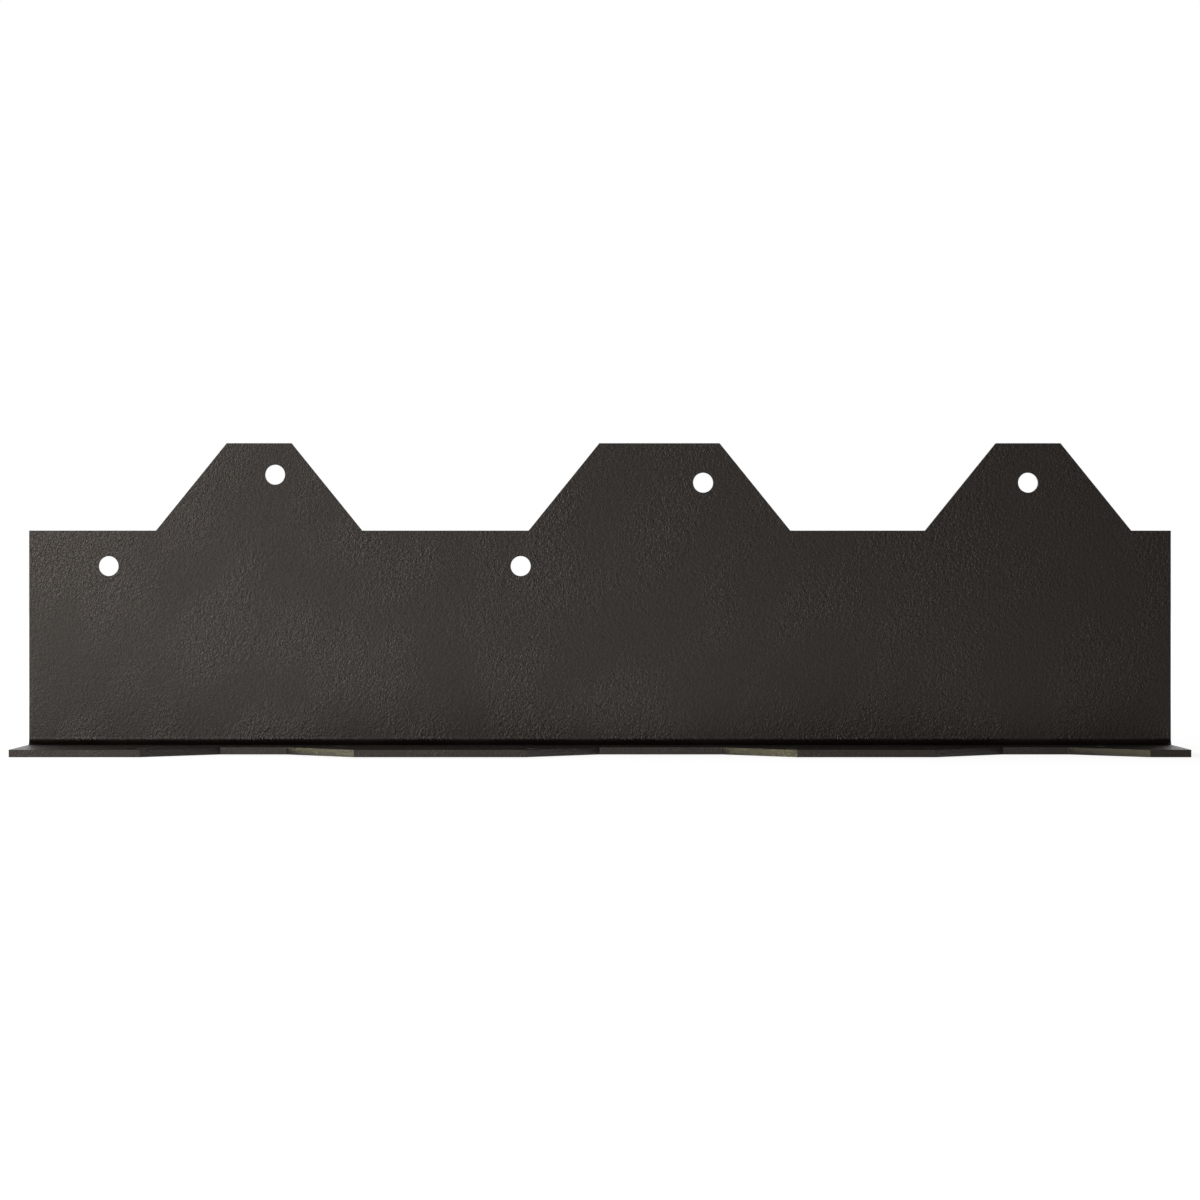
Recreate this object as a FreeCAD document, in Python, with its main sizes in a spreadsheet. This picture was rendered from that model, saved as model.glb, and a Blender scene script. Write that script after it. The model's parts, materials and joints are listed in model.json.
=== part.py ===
import FreeCAD, Part

import os

import Sketcher
from FreeCAD import Placement, Rotation, Vector

# A reinforcing angle for timber framing: one strip of 16 gauge steel sheet, sheared to a zig-zag along
# both long edges, punched for nails and press-folded lengthwise into an L. Millimetres, +Z up.
# It stands on its flange, with the length along X and the upright at the back (+Y). The origin is at
# the middle of the bottom of its box. Both edges follow the same zig-zag, and where the upright has a
# tab the flange has a notch of the same shape, so that blanks sheared side by side leave no scrap.

doc = FreeCAD.newDocument("ReinforcingAngle")

# ---- driving sizes, one cell each ----------------------------------------------------------------

SIZES = {
    "sheet_thickness": 1.46,
    "bend_radius": 1.5,  # inside the fold
    "shoulder_height": 44.3,  # underside to the upright's edge between its tabs
    "notch_floor_reach": 19.0,  # back face to the floors of the flange's notches
    "tab_height": 17.5,  # shoulders to tab tops, and notch floors to the flange's front edge
    # the zig-zag from the left end to the right, with the slants' runs between these
    "left_end": 25.4,
    "first_tab": 12.98,  # flat top of a tab, or flat floor of the notch opposite
    "first_gap": 33.33,  # foot to foot between two tabs
    "second_tab": 24.09,
    "second_gap": 26.98,
    "third_tab": 12.98,
    "right_end": 7.94,
    "slant_run": 14.15,  # length of the part taken up by one slanted side
    # nail holes
    "nail_hole": 4.0,  # diameter
    "end_distance": 15.9,  # hole centre to the end of the part
    "inner_row_edge": 7.1,  # hole centre to the shoulders or notch floors
    "outer_row_edge": 7.9,  # hole centre to the tab tops or the flange's front edge
    "high_hole_edge": 6.3,  # the same, for the one hole that sits higher in its tab
    "corner_lead": 3.3,  # hole centre to the right corner of its tab's flat top
    "foot_lead": 1.6,  # hole centre to the foot of the slant on its right
}

sheet = doc.addObject("Spreadsheet::Sheet", "Sizes")
for row, (alias, value) in enumerate(SIZES.items(), start=1):
    sheet.set(f"A{row}", alias)
    sheet.set(f"B{row}", str(value))
    sheet.setAlias(f"B{row}", alias)
doc.recompute()

# The zig-zag as a list of straight runs, each with the side that it ends on: out at the tab tops, or in
# at the shoulders. The distances below are expressions that add up cells, from the left end.
ZIGZAG = [
    ("left_end", "in"),
    ("slant_run", "out"),
    ("first_tab", "out"),
    ("slant_run", "in"),
    ("first_gap", "in"),
    ("slant_run", "out"),
    ("second_tab", "out"),
    ("slant_run", "in"),
    ("second_gap", "in"),
    ("slant_run", "out"),
    ("third_tab", "out"),
    ("slant_run", "in"),
    ("right_end", "in"),
]


def distance_to(run_count):
    """From the left end to the end of the first so many runs of the zig-zag."""
    return " + ".join(f"Sizes.{name}" for name, _ in ZIGZAG[:run_count])


LENGTH = distance_to(len(ZIGZAG))
FIRST_TAB_LEFT_FOOT = distance_to(1)
FIRST_TAB_CORNER = distance_to(3)
SECOND_TAB_LEFT_FOOT = distance_to(5)
SECOND_TAB_CORNER = distance_to(7)
SECOND_TAB_RIGHT_FOOT = distance_to(8)
THIRD_TAB_LEFT_CORNER = distance_to(10)

UPRIGHT_SHOULDER = "Sizes.shoulder_height"
FLANGE_NOTCH_FLOOR = "Sizes.notch_floor_reach"
UPRIGHT_HEIGHT = f"{UPRIGHT_SHOULDER} + Sizes.tab_height"
FLANGE_REACH = f"{FLANGE_NOTCH_FLOOR} + Sizes.tab_height"

body = doc.addObject("PartDesign::Body", "ReinforcingAngle")
body.Label = "reinforcing_angle"
body.Placement = Placement()

# ---- sketches ------------------------------------------------------------------------------------
# Every sketch has its origin at the heel of the fold and its second axis pointing outwards along a leg:
# up from the underside on the upright, forwards from the back face on the flange. The sketches of the
# two legs measure along the part from its left end, so one zig-zag serves both.

# How a constraint names the points of a line or an arc, then the sketch's own axes and its origin.
START, END, CENTRE = 1, 2, 3
LINE_ACROSS, LINE_OUT = -1, -2
ORIGIN = (LINE_ACROSS, START)


def heel_sketch(name, plane, turn, shift_x, shift_y):
    """A sketch on an origin plane, turned, and moved to the heel by two expressions."""
    sketch = body.newObject("Sketcher::SketchObject", name)
    support = next(part for part in body.Origin.OriginFeatures if part.Role == plane)
    sketch.AttachmentSupport = [(support, "")]
    sketch.MapMode = "FlatFace"
    sketch.AttachmentOffset = Placement(Vector(), turn)
    sketch.setExpression("AttachmentOffset.Base.x", shift_x)
    sketch.setExpression("AttachmentOffset.Base.y", shift_y)
    return sketch


def section_sketch(name):
    """Across the part: first axis forwards along the flange, second axis up the upright."""
    half_turn = Rotation(Vector(0, 1, 0), 180)
    return heel_sketch(name, "YZ_Plane", half_turn, f"({FLANGE_REACH}) / 2", "0")


def upright_sketch(name):
    return heel_sketch(name, "XZ_Plane", Rotation(), f"-({LENGTH}) / 2", "0")


def flange_sketch(name):
    half_turn = Rotation(Vector(1, 0, 0), 180)
    return heel_sketch(name, "XY_Plane", half_turn, f"-({LENGTH}) / 2", f"({FLANGE_REACH}) / 2")


def add_line(sketch, start, end):
    return sketch.addGeometry(Part.LineSegment(Vector(*start), Vector(*end)))


def dimension(sketch, kind, points, expression):
    """A dimension bound to the sheet. Its points are given in the direction that it measures."""
    value = sheet.evalExpression(expression)
    index = sketch.addConstraint(Sketcher.Constraint(kind, *points, value))
    sketch.setExpression(f"Constraints[{index}]", expression)


# ---- the folded strip ----------------------------------------------------------------------------
# The section of the L, drawn with legs one tab's height longer than the finished ones. The shear cuts
# trim them, and give both edges their final shape.

section = section_sketch("Section")
gauge = SIZES["sheet_thickness"]
inner_radius = SIZES["bend_radius"]
outer_radius = inner_radius + gauge
blank_up = sheet.evalExpression(f"{UPRIGHT_HEIGHT} + Sizes.tab_height")
blank_out = sheet.evalExpression(f"{FLANGE_REACH} + Sizes.tab_height")

back = add_line(section, (0, blank_up), (0, outer_radius))
underside = add_line(section, (outer_radius, 0), (blank_out, 0))
front_edge = add_line(section, (blank_out, 0), (blank_out, gauge))
flange_top = add_line(section, (blank_out, gauge), (outer_radius, gauge))
upright_face = add_line(section, (gauge, outer_radius), (gauge, blank_up))
top_edge = add_line(section, (gauge, blank_up), (0, blank_up))


def bend(radius):
    """A quarter of a circle about the centre of the fold, from the upright's side to the flange's."""
    diagonal = outer_radius - radius * 0.5**0.5
    start = Vector(outer_radius - radius, outer_radius)
    end = Vector(outer_radius, outer_radius - radius)
    return section.addGeometry(Part.Arc(start, Vector(diagonal, diagonal), end))


outer_bend = bend(outer_radius)
inner_bend = bend(inner_radius)

for line in (back, front_edge, upright_face):
    section.addConstraint(Sketcher.Constraint("Vertical", line))
for line in (underside, flange_top, top_edge):
    section.addConstraint(Sketcher.Constraint("Horizontal", line))
for first, second in (
    (underside, front_edge),
    (front_edge, flange_top),
    (upright_face, top_edge),
    (top_edge, back),
):
    section.addConstraint(Sketcher.Constraint("Coincident", first, END, second, START))
for line, line_end, arc, arc_end in (
    (back, END, outer_bend, START),
    (underside, START, outer_bend, END),
    (flange_top, END, inner_bend, END),
    (upright_face, START, inner_bend, START),
):
    section.addConstraint(Sketcher.Constraint("Tangent", line, line_end, arc, arc_end))
section.addConstraint(Sketcher.Constraint("Coincident", outer_bend, CENTRE, inner_bend, CENTRE))
section.addConstraint(Sketcher.Constraint("PointOnObject", back, START, LINE_OUT))
section.addConstraint(Sketcher.Constraint("PointOnObject", underside, END, LINE_ACROSS))
dimension(section, "Radius", (inner_bend,), "Sizes.bend_radius")
dimension(section, "DistanceY", (front_edge, START, front_edge, END), "Sizes.sheet_thickness")
dimension(section, "DistanceY", (*ORIGIN, back, START), f"{UPRIGHT_HEIGHT} + Sizes.tab_height")
dimension(section, "DistanceX", (*ORIGIN, underside, END), f"{FLANGE_REACH} + Sizes.tab_height")

strip = body.newObject("PartDesign::Pad", "FoldedStrip")
strip.Profile = section
strip.SideType = "Symmetric"
strip.setExpression("Length", LENGTH)

# ---- the zig-zag edges ---------------------------------------------------------------------------
# What the shear takes off each leg: everything outside the zig-zag, which the cut carries one sheet
# thickness past both ends of the part.


def shear_sketch(sketch, inner_level, tabs_go):
    """The zig-zag and the waste beyond it. tabs_go is +1 for tabs that stand outwards, -1 for notches."""
    overrun = SIZES["sheet_thickness"]
    levels = {"in": sheet.evalExpression(inner_level)}
    levels["out"] = levels["in"] + tabs_go * SIZES["tab_height"]
    corners = [(-overrun, levels["in"])]
    along = 0.0
    for name, side in ZIGZAG:
        along += SIZES[name]
        corners.append((along, levels[side]))
    corners[-1] = (along + overrun, levels["in"])
    waste_level = levels["in"] + 3 * SIZES["tab_height"]
    corners.append((along + overrun, waste_level))
    corners.append((-overrun, waste_level))

    lines = [add_line(sketch, start, end) for start, end in zip(corners, corners[1:] + corners[:1])]
    for line, following in zip(lines, lines[1:] + lines[:1]):
        sketch.addConstraint(Sketcher.Constraint("Coincident", line, END, following, START))

    runs = lines[: len(ZIGZAG)]
    waste_right, waste_side, waste_left = lines[len(ZIGZAG) :]
    side_before = "in"
    for line, (name, side) in zip(runs, ZIGZAG):
        if side == side_before:
            sketch.addConstraint(Sketcher.Constraint("Horizontal", line))
        else:
            rises = (side == "out") == (tabs_go > 0)
            ends = (line, START, line, END) if rises else (line, END, line, START)
            dimension(sketch, "DistanceY", ends, "Sizes.tab_height")
        side_before = side
        if line == runs[0]:
            dimension(sketch, "DistanceX", (line, START, *ORIGIN), "Sizes.sheet_thickness")
            dimension(sketch, "DistanceX", (*ORIGIN, line, END), f"Sizes.{name}")
        elif line == runs[-1]:
            past_the_end = f"Sizes.{name} + Sizes.sheet_thickness"
            dimension(sketch, "DistanceX", (line, START, line, END), past_the_end)
        else:
            dimension(sketch, "DistanceX", (line, START, line, END), f"Sizes.{name}")
    dimension(sketch, "DistanceY", (*ORIGIN, runs[0], START), inner_level)
    sketch.addConstraint(Sketcher.Constraint("Vertical", waste_right))
    sketch.addConstraint(Sketcher.Constraint("Horizontal", waste_side))
    sketch.addConstraint(Sketcher.Constraint("Vertical", waste_left))
    dimension(sketch, "DistanceY", (waste_right, START, waste_right, END), "3 * Sizes.tab_height")
    return sketch


def shear_cut(name, sketch):
    cut = body.newObject("PartDesign::Pocket", name)
    cut.Profile = sketch
    cut.Type = "ThroughAll"
    return cut


upright_edge = shear_sketch(upright_sketch("UprightEdge"), UPRIGHT_SHOULDER, +1)
flange_edge = shear_sketch(flange_sketch("FlangeEdge"), FLANGE_REACH, -1)
cuts = [shear_cut("UprightShear", upright_edge), shear_cut("FlangeShear", flange_edge)]

# ---- nail holes ----------------------------------------------------------------------------------
# Punched through the flat sheet in two staggered rows on each leg: an inner row behind the shoulders or
# notch floors, and an outer row in the tabs or lobes.

UPRIGHT_INNER_ROW = f"{UPRIGHT_SHOULDER} - Sizes.inner_row_edge"
UPRIGHT_OUTER_ROW = f"{UPRIGHT_HEIGHT} - Sizes.outer_row_edge"
FLANGE_INNER_ROW = f"{FLANGE_NOTCH_FLOOR} - Sizes.inner_row_edge"
FLANGE_OUTER_ROW = f"{FLANGE_REACH} - Sizes.outer_row_edge"

FIRST_LOBE_HOLE = f"{FIRST_TAB_LEFT_FOOT} - Sizes.foot_lead"
SECOND_LOBE_HOLE = SECOND_TAB_LEFT_FOOT

UPRIGHT_HOLES = [
    ("Sizes.end_distance", UPRIGHT_INNER_ROW),
    (f"{FIRST_TAB_CORNER} - Sizes.corner_lead", f"{UPRIGHT_HEIGHT} - Sizes.high_hole_edge"),
    (f"{SECOND_TAB_LEFT_FOOT} - Sizes.foot_lead", UPRIGHT_INNER_ROW),
    (f"{SECOND_TAB_CORNER} - Sizes.corner_lead", UPRIGHT_OUTER_ROW),
    (f"{THIRD_TAB_LEFT_CORNER} + Sizes.third_tab / 2", UPRIGHT_OUTER_ROW),
]
FLANGE_HOLES = [
    (FIRST_LOBE_HOLE, FLANGE_OUTER_ROW),
    (f"({FIRST_LOBE_HOLE} + {SECOND_LOBE_HOLE}) / 2", FLANGE_INNER_ROW),
    (SECOND_LOBE_HOLE, FLANGE_OUTER_ROW),
    (f"{SECOND_TAB_RIGHT_FOOT} - Sizes.foot_lead", FLANGE_OUTER_ROW),
    (f"{LENGTH} - Sizes.end_distance", FLANGE_INNER_ROW),
]


def punch(name, sketch, centres):
    """Nail holes through one leg, at these distances along the part and out from its heel."""
    for along, outwards in centres:
        place = Vector(sheet.evalExpression(along), sheet.evalExpression(outwards))
        circle = sketch.addGeometry(Part.Circle(place, Vector(0, 0, 1), SIZES["nail_hole"] / 2))
        dimension(sketch, "Diameter", (circle,), "Sizes.nail_hole")
        dimension(sketch, "DistanceX", (*ORIGIN, circle, CENTRE), along)
        dimension(sketch, "DistanceY", (*ORIGIN, circle, CENTRE), outwards)
    doc.recompute()
    holes = body.newObject("PartDesign::Hole", name)
    holes.Profile = sketch
    holes.DepthType = "ThroughAll"
    holes.setExpression("Diameter", "Sizes.nail_hole")
    return holes


cuts.append(punch("UprightNailHoles", upright_sketch("UprightHoleCentres"), UPRIGHT_HOLES))
cuts.append(punch("FlangeNailHoles", flange_sketch("FlangeHoleCentres"), FLANGE_HOLES))
doc.recompute()

# ---- checks and export ---------------------------------------------------------------------------

for item in doc.Objects:
    if "Invalid" in item.State or "Error" in item.State:
        raise RuntimeError(f"{item.Name} did not recompute: {item.State}")
for cut in cuts:
    if cut.Shape.Volume >= cut.BaseFeature.Shape.Volume:
        raise RuntimeError(f"{cut.Name} removes nothing")

if body.Shape.isNull() or not body.Shape.isValid():
    raise RuntimeError(f"{body.Label} has no sound shape")

os.makedirs("parts", exist_ok=True)
body.Shape.exportStep(f"parts/{body.Label}.step")
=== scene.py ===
import json
import math

import bmesh
import bpy
from mathutils import Matrix, Vector


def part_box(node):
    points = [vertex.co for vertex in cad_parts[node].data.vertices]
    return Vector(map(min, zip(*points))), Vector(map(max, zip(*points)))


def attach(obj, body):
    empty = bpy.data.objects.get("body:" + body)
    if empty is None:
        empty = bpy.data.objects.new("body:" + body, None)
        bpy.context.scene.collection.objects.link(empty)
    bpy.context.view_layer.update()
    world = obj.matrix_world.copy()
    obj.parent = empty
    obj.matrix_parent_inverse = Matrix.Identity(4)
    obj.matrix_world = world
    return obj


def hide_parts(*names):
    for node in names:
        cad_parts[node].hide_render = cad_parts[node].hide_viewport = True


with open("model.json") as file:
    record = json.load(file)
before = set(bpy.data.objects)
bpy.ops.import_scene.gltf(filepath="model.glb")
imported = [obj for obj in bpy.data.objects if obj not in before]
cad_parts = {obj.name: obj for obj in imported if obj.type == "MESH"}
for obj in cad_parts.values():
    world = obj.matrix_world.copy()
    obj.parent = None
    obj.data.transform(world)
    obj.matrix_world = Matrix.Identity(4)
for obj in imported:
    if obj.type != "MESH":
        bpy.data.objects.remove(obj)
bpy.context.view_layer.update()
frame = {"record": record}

# ---- the blank ------------------------------------------------------------------------------------
# One strip of 16 gauge steel sheet, sheared along both long edges to the same zig-zag, so that every
# tab of the upright has a notch of its own shape opposite it in the flange. It is drawn flat, as the
# sheet's inner side, in the upright's plane, with the fold and the flange hanging below.

MM = 0.001
SHEET = 1.46 * MM
FOLD_RADIUS = 1.5 * MM  # inside the fold
FOLD_STEPS = 16
TAB_HEIGHT = 17.5 * MM
SLANT_RUN = 14.15 * MM
ZIGZAG_RUNS = [  # from the left end: how far each straight run goes, and the side that it ends on
    (25.4 * MM, "in"),
    (SLANT_RUN, "out"),
    (12.98 * MM, "out"),
    (SLANT_RUN, "in"),
    (33.33 * MM, "in"),
    (SLANT_RUN, "out"),
    (24.09 * MM, "out"),
    (SLANT_RUN, "in"),
    (26.98 * MM, "in"),
    (SLANT_RUN, "out"),
    (12.98 * MM, "out"),
    (SLANT_RUN, "in"),
]

low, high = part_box("reinforcing_angle")
face_y = high.y - SHEET
fold_top = low.z + SHEET + FOLD_RADIUS
fold_step = math.radians(90) / FOLD_STEPS
fold_strip = 2 * FOLD_RADIUS * math.sin(fold_step / 2)
fold_foot = fold_top - FOLD_STEPS * fold_strip
heel_to_fold = SHEET + FOLD_RADIUS


def flat_level(outwards):
    """How high on the blank a point of the flange lies that will be this far out from the heel."""
    return fold_foot - (outwards - heel_to_fold)


def zigzag(inner_level):
    """The corners of one sheared edge, from the left end to the right."""
    levels = {"in": inner_level, "out": inner_level + TAB_HEIGHT}
    along = low.x
    corners = [Vector((along, face_y, inner_level))]
    for run, side in ZIGZAG_RUNS:
        along += run
        corners.append(Vector((along, face_y, levels[side])))
    corners.append(Vector((high.x, face_y, inner_level)))
    return corners


upright_edge = zigzag(high.z - TAB_HEIGHT)
flange_edge = zigzag(flat_level(high.y - low.y))

sheet = bmesh.new()
sheet.faces.new([sheet.verts.new(corner) for corner in flange_edge + upright_edge[::-1]])


def score(faces, point, across):
    """Splits faces of the blank along the plane through a point, square to a direction."""
    touched = [part for face in faces for part in (face, *face.edges, *face.verts)]
    each_once = list(dict.fromkeys(touched))
    bmesh.ops.bisect_plane(sheet, geom=each_once, plane_co=point, plane_no=across)


for line in range(FOLD_STEPS + 1):
    score(sheet.faces[:], (0, face_y, fold_top - line * fold_strip), (0, 0, 1))

# ---- the nail holes -------------------------------------------------------------------------------
# Plain round holes, punched through the flat blank where the frame's bores say. Each is opened in a
# small square of its own, so that the sheet round it stays flat.

HOLE_SEGMENTS = 64
HOLE_MARGIN = 0.7 * MM  # from the hole's rim to the sides of its square


def face_round(point):
    """The face of the blank whose box holds this point."""
    for face in sheet.faces:
        columns = sorted(vert.co.x for vert in face.verts)
        rows = sorted(vert.co.z for vert in face.verts)
        if columns[0] < point.x < columns[-1] and rows[0] < point.z < rows[-1]:
            return face


def punch(centre, radius):
    half = radius + HOLE_MARGIN
    for direction in (Vector((1, 0, 0)), Vector((0, 0, 1))):
        for side in (-half, half):
            score([face_round(centre)], centre + side * direction, direction)
    square = face_round(centre)
    bmesh.ops.bisect_edges(sheet, edges=square.edges[:], cuts=HOLE_SEGMENTS // 4 - 1)
    slug = bmesh.ops.extrude_discrete_faces(sheet, faces=[square])["faces"][0]
    for vert in slug.verts:
        vert.co = centre + radius * (vert.co - centre).normalized()
    sheet.faces.remove(slug)


for mount in frame["record"]["mounts"]:
    if mount["kind"] == "bore":
        along, depth, level = mount["pos_m"]
        if mount["axis"][2]:
            level = flat_level(high.y - depth)
        punch(Vector((along, face_y, level)), mount["dims"]["r_mm"] * MM)

# ---- the fold -------------------------------------------------------------------------------------
# The press folds the blank lengthwise until the flange stands square to the upright, a little at each
# scored line. Then the sheet gets its gauge behind the side that is drawn, and every sheared edge and
# punched rim gets the small round that the coat leaves on it.

EDGE_ROUND = 0.06 * MM
EDGE_SEGMENTS = 3
CUT_EDGE = math.radians(30)  # an edge that turns by more than this was sheared or punched
CREASE = math.radians(10)  # and one that turns by more than this isn't shaded smooth

for line in reversed(range(FOLD_STEPS + 1)):
    hinge = fold_top - line * fold_strip
    turn = fold_step if 0 < line < FOLD_STEPS else fold_step / 2
    swing = Matrix.Rotation(-turn, 3, "X")
    beyond = [vert for vert in sheet.verts if vert.co.z < hinge - fold_strip / 2]
    bmesh.ops.rotate(sheet, verts=beyond, cent=(0, face_y, hinge), matrix=swing)

bmesh.ops.solidify(sheet, geom=sheet.faces[:], thickness=SHEET)
cut_edges = [edge for edge in sheet.edges if edge.calc_face_angle(0) > CUT_EDGE]
bmesh.ops.bevel(
    sheet,
    geom=cut_edges,
    affect="EDGES",
    offset=EDGE_ROUND,
    offset_type="OFFSET",
    segments=EDGE_SEGMENTS,
    profile=0.5,
    material=-1,
)

mesh = bpy.data.meshes.new("coated_angle")
sheet.to_mesh(mesh)
sheet.free()
mesh.shade_smooth()
mesh.set_sharp_from_angle(angle=CREASE)
coated_angle = bpy.data.objects.new("coated_angle", mesh)
bpy.context.collection.objects.link(coated_angle)
weighted = coated_angle.modifiers.new("flat_faces_stay_flat", "WEIGHTED_NORMAL")
weighted.keep_sharp = True

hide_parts("reinforcing_angle")
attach(coated_angle, "root")

# ---- the coat -------------------------------------------------------------------------------------
# Black textured powder coat, baked on over the whole angle, cut edges and all. It cures to a fine
# leathery grain, which runs up and down the sheet and lies deeper in some patches than in others.

COAT_COLOUR = (0.005, 0.0034, 0.0023)
COAT_SHEEN = (1.0, 0.89, 0.81)  # the tint of what the coat mirrors
SMOOTH_ROUGHNESS = 0.40  # where the grain is shallowest
GRAINY_ROUGHNESS = 0.30  # and where it is deepest
GRAIN = 0.45 * MM
GRAIN_STRETCH = 1.3  # how much longer the grain is up the sheet than across
GRAIN_DEPTH = 0.10 * MM
LEAST_GRAIN = 0.55  # how deep the grain is where it is shallowest, as a share of its full depth
PATCH = 13 * MM
PATCH_STRETCH = 1.6
PATCH_EDGE = (0.35, 0.65)  # where in the noise a patch of shallow grain turns into one of deep grain
LEAN = math.radians(25)  # how far the grain and its patches lean to the right as they run up the sheet


class Wire:
    """An output socket in a node tree. Arithmetic on it adds Math nodes; node() adds any other."""

    def __init__(self, tree, socket=None):
        self.tree = tree
        self.socket = socket

    def node(self, kind, settings, inputs, output=0):
        """A node whose settings are set first, and then its sockets' values or links."""
        made = self.tree.nodes.new(kind)
        for name, value in settings.items():
            setattr(made, name, value)
        for name, value in inputs.items():
            if isinstance(value, Wire):
                self.tree.links.new(value.socket, made.inputs[name])
            else:
                made.inputs[name].default_value = value
        return Wire(self.tree, made.outputs[output] if made.outputs else None)

    def maths(self, operation, first, second):
        return self.node("ShaderNodeMath", {"operation": operation}, {0: first, 1: second})

    def __add__(self, other):
        return self.maths("ADD", self, other)

    def __radd__(self, other):
        return self.maths("ADD", other, self)

    def __sub__(self, other):
        return self.maths("SUBTRACT", self, other)

    def __rsub__(self, other):
        return self.maths("SUBTRACT", other, self)

    def __mul__(self, other):
        return self.maths("MULTIPLY", self, other)

    def __rmul__(self, other):
        return self.maths("MULTIPLY", other, self)


def up_the_sheet(wire, stretch):
    """Places on the angle, leaning as the grain does and drawn out that way."""
    place = wire.node("ShaderNodeTexCoord", {}, {}, "Object")
    return wire.node(
        "ShaderNodeMapping",
        {"vector_type": "TEXTURE"},
        {"Vector": place, "Rotation": (0, LEAN, 0), "Scale": (1, stretch, stretch)},
    )


def ramp(wire, value, start, end, first, last, curve="LINEAR"):
    """Goes from the first strength to the last as the value goes from its start to its end."""
    return wire.node(
        "ShaderNodeMapRange",
        {"interpolation_type": curve},
        {"Value": value, "From Min": start, "From Max": end, "To Min": first, "To Max": last},
    )


def powder_coat():
    material = bpy.data.materials.new("powder_coat")
    material.use_nodes = True
    tree = material.node_tree
    tree.nodes.clear()
    wire = Wire(tree)
    grain = wire.node(
        "ShaderNodeTexNoise",
        {},
        {
            "Vector": up_the_sheet(wire, GRAIN_STRETCH),
            "Scale": 1 / GRAIN,
            "Detail": 2.0,
            "Roughness": 0.5,
            "Distortion": 0.8,
        },
    )
    patches = wire.node(
        "ShaderNodeTexNoise",
        {},
        {"Vector": up_the_sheet(wire, PATCH_STRETCH), "Scale": 1 / PATCH, "Detail": 1.0},
    )
    depth = ramp(wire, patches, *PATCH_EDGE, LEAST_GRAIN, 1.0, "SMOOTHSTEP")
    fall = (SMOOTH_ROUGHNESS - GRAINY_ROUGHNESS) / (1 - LEAST_GRAIN)
    relief = wire.node("ShaderNodeBump", {}, {"Height": grain * depth, "Distance": GRAIN_DEPTH})
    paint = wire.node(
        "ShaderNodeBsdfPrincipled",
        {},
        {
            "Base Color": (*COAT_COLOUR, 1),
            "Specular IOR Level": 0.5,
            "Specular Tint": (*COAT_SHEEN, 1),
            "Roughness": SMOOTH_ROUGHNESS - fall * (depth - LEAST_GRAIN),
            "Normal": relief,
        },
    )
    wire.node("ShaderNodeOutputMaterial", {}, {"Surface": paint})
    return material


coated_angle.data.materials.append(powder_coat())

# ---- the studio -----------------------------------------------------------------------------------
# A pale floor and a white room. One wide softbox close by on the left lights the angle, a low one far
# off at the side catches the slants that face left, and one behind lifts the back. The coat also
# mirrors
# painted light that lights nothing else: a painted pool of light on the floor, a painted low band of
# light that is brighter on the left, and two painted white panels in the room.

FLOOR_DROP = 0.02 * MM  # from the underside of the flange to the floor
FLOOR_COLOUR = (0.75, 0.75, 0.75)
FLOOR_GLOW = 0.78  # near the angle, where the lamps bring it up to white; far off it is all glow
PAINTED_POOL = (-0.04, -0.09, 0)  # where the painted pool of light on the floor is brightest; only reflections see it
PAINTED_POOL_REACH = 0.22
PAINTED_POOL_LIGHT = 1.35
PAINTED_FLOOR_LIGHT = 0.15  # what the coat mirrors of the floor outside the painted pool, a painted reflection too
ROOM_LIGHT = 0.22  # what the room adds on matt surfaces
PAINTED_BAND_LIGHT = 1.65
PAINTED_BAND_ACROSS = (-0.35, 0.35)  # from left to right, where the painted low band of light, which only reflections see, starts and ends fading
PAINTED_BAND_UP = (0.25, 0.42)  # and the same upwards
PAINTED_PANELS = [  # the way to each painted white panel, which only reflections see, the cosines where its soft edge starts and ends, its light
    ((0, 0.8, 0.6), 0.6, 0.85, 1.0),
    ((0.8, -0.15, 0.58), 0.78, 0.93, 0.3),
]

angle_length = high.x - low.x
floor_reach = 40 * angle_length
glow_rise = (angle_length, 3 * angle_length)  # how far out the floor's own glow starts and ends rising

floor_mesh = bpy.data.meshes.new("floor")
floor_plane = bmesh.new()
bmesh.ops.create_grid(floor_plane, x_segments=1, y_segments=1, size=floor_reach)
bmesh.ops.translate(floor_plane, verts=floor_plane.verts, vec=(0, 0, low.z - FLOOR_DROP))
floor_plane.to_mesh(floor_mesh)
floor_plane.free()
floor = bpy.data.objects.new("floor", floor_mesh)
bpy.context.collection.objects.link(floor)


def rays_that_see(wire, *kinds):
    """1 for rays of any of these kinds."""
    seen = 0.0
    for kind in kinds:
        seen = wire.maths("MAXIMUM", seen, wire.node("ShaderNodeLightPath", {}, {}, kind))
    return seen


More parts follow.
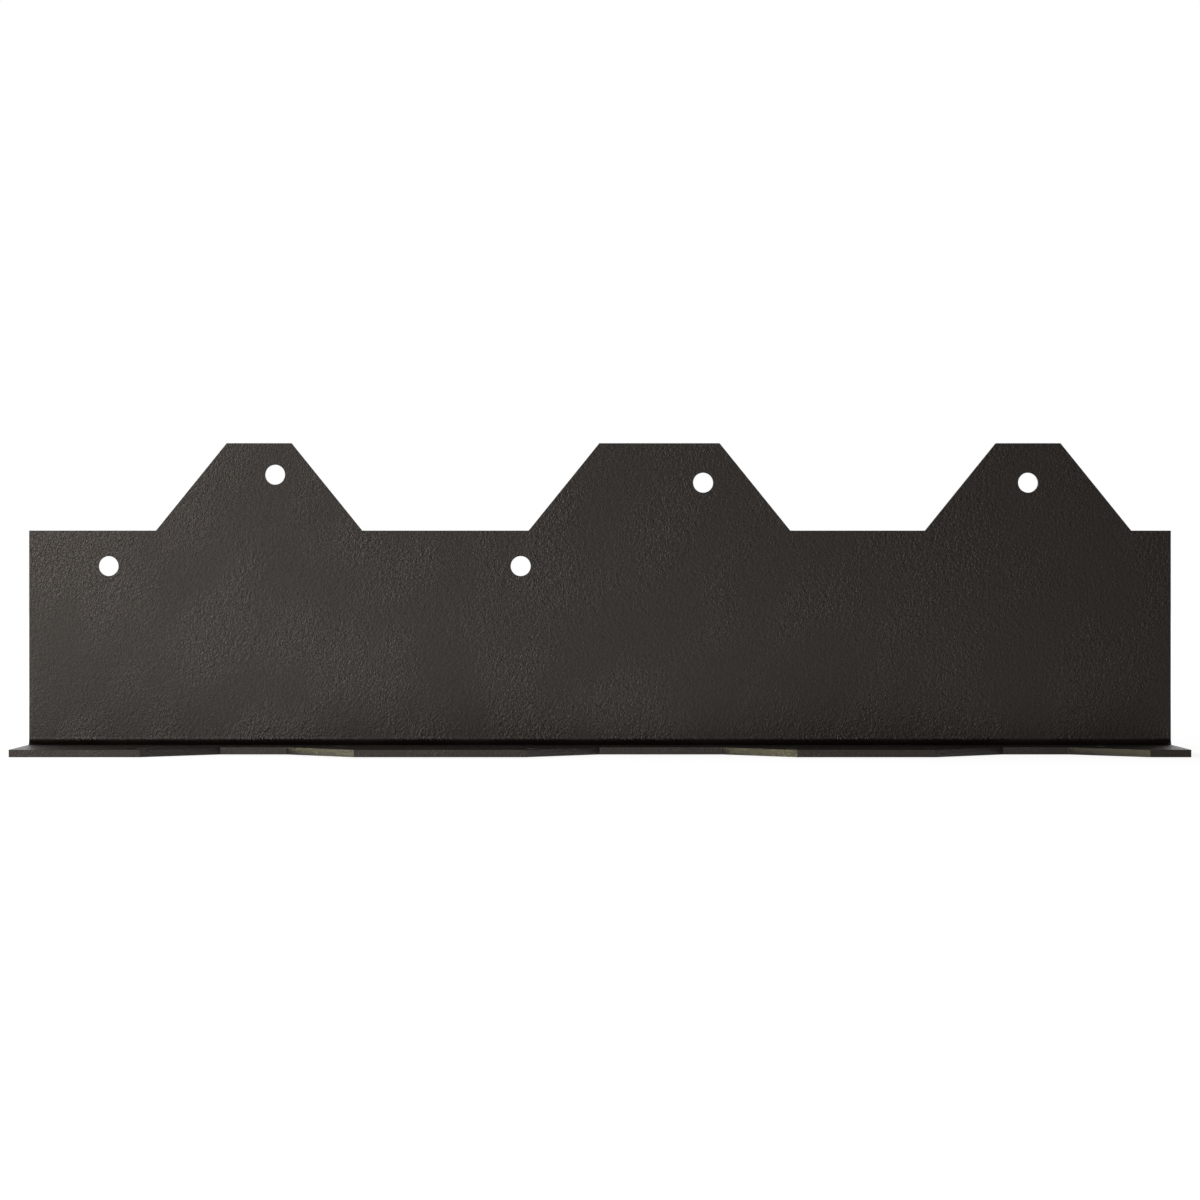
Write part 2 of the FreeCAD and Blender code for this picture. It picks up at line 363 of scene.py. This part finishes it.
def white_floor():
    material = bpy.data.materials.new("white_floor")
    material.use_nodes = True
    tree = material.node_tree
    tree.nodes.clear()
    wire = Wire(tree)
    place = wire.node("ShaderNodeTexCoord", {}, {}, "Object")
    off = wire.node("ShaderNodeVectorMath", {"operation": "DISTANCE"}, {0: place, 1: PAINTED_POOL}, "Value")
    # painted pool of light on the floor: a glow that only reflections see
    painted_pool = ramp(wire, off, 0.0, PAINTED_POOL_REACH, PAINTED_POOL_LIGHT, PAINTED_FLOOR_LIGHT)
    mirrored = rays_that_see(wire, "Is Glossy Ray", "Is Transmission Ray")
    seen = rays_that_see(wire, "Is Camera Ray")
    away = wire.node("ShaderNodeVectorMath", {"operation": "LENGTH"}, {0: place}, "Value")
    glow = ramp(wire, away, *glow_rise, FLOOR_GLOW, 1.0, "SMOOTHSTEP")
    matt = wire.node("ShaderNodeBsdfDiffuse", {}, {"Color": (*FLOOR_COLOUR, 1)})
    # the camera sees the floor's white glow, and reflections see the painted pool
    glow_and_painted_pool = wire.node("ShaderNodeEmission", {}, {"Strength": glow * seen + painted_pool * mirrored})
    surface = wire.node("ShaderNodeAddShader", {}, {0: matt, 1: glow_and_painted_pool})
    wire.node("ShaderNodeOutputMaterial", {}, {"Surface": surface})
    return material


floor.data.materials.append(white_floor())


def room():
    world = bpy.data.worlds.new("room")
    world.use_nodes = True
    tree = world.node_tree
    tree.nodes.clear()
    wire = Wire(tree)
    way = wire.node("ShaderNodeTexCoord", {}, {}, "Generated")
    right = wire.node("ShaderNodeSeparateXYZ", {}, {"Vector": way}, "X")
    up = wire.node("ShaderNodeSeparateXYZ", {}, {"Vector": way}, "Z")
    # painted reflections: a low band of light and two white panels that only reflections see and that
    # light nothing
    painted_band = ramp(wire, right, *PAINTED_BAND_ACROSS, PAINTED_BAND_LIGHT, 0.0, "SMOOTHSTEP")
    painted_reflections = painted_band * ramp(wire, up, *PAINTED_BAND_UP, 1.0, 0.0, "SMOOTHSTEP")
    for way_there, edge, middle, light in PAINTED_PANELS:
        near = wire.node(
            "ShaderNodeVectorMath", {"operation": "DOT_PRODUCT"}, {0: way, 1: way_there}, "Value"
        )
        painted_panel = ramp(wire, near, edge, middle, 0.0, light, "SMOOTHSTEP")
        painted_reflections = wire.maths("MAXIMUM", painted_reflections, painted_panel)
    mirrored = rays_that_see(wire, "Is Glossy Ray", "Is Transmission Ray")
    white = rays_that_see(wire, "Is Camera Ray")
    strength = (
        wire.maths("MAXIMUM", white, painted_reflections * mirrored) + ROOM_LIGHT * (1 - mirrored) * (1 - white)
    )
    background = wire.node("ShaderNodeBackground", {}, {"Color": (1, 1, 1, 1), "Strength": strength})
    wire.node("ShaderNodeOutputWorld", {}, {"Surface": background})
    return world


bpy.context.scene.world = room()


def softbox(name, place, target, width, height, power, colour=(1, 1, 1)):
    data = bpy.data.lights.new(name, "AREA")
    data.shape = "RECTANGLE"
    data.size = width
    data.size_y = height
    data.energy = power
    data.color = colour
    lamp = bpy.data.objects.new(name, data)
    lamp.location = place
    lamp.visible_camera = False
    lamp.rotation_euler = (Vector(target) - Vector(place)).to_track_quat("-Z", "Y").to_euler()
    bpy.context.collection.objects.link(lamp)


softbox("key", place=(-0.39, -0.44, 0.13), target=(-0.1, 0, 0.03), width=0.56, height=0.14, power=1.35)
softbox("back", place=(-0.55, 0.6, 0.25), target=(0, 0, 0.03), width=0.5, height=0.25, power=1.7)
softbox(
    "side",
    place=(-1.2, 0.13, 0.06),
    target=(0, 0, 0.01),
    width=0.24,
    height=0.05,
    power=1.9,
    colour=(0.97, 1, 0.52),
)

# ---- the camera -----------------------------------------------------------------------------------
# A long lens straight in front of the upright, a metre away and level with the middle of its height.

CAMERA_DISTANCE = 1009.5 * MM  # from the upright's face
CAMERA_LEVEL = 30.4 * MM
VIEW_WIDTH = 240.25 * MM  # what the camera sees across at the upright's face
FILM_WIDTH = 36  # in the millimetres that Blender gives a lens in

lens = bpy.data.cameras.new("camera")
lens.sensor_width = FILM_WIDTH
lens.lens = FILM_WIDTH * CAMERA_DISTANCE / VIEW_WIDTH
camera = bpy.data.objects.new("camera", lens)
camera.location = (0, face_y - CAMERA_DISTANCE, low.z + CAMERA_LEVEL)
camera.rotation_euler = (math.radians(90), 0, 0)
bpy.context.collection.objects.link(camera)
bpy.context.scene.camera = camera
bpy.context.scene.view_settings.view_transform = "Standard"
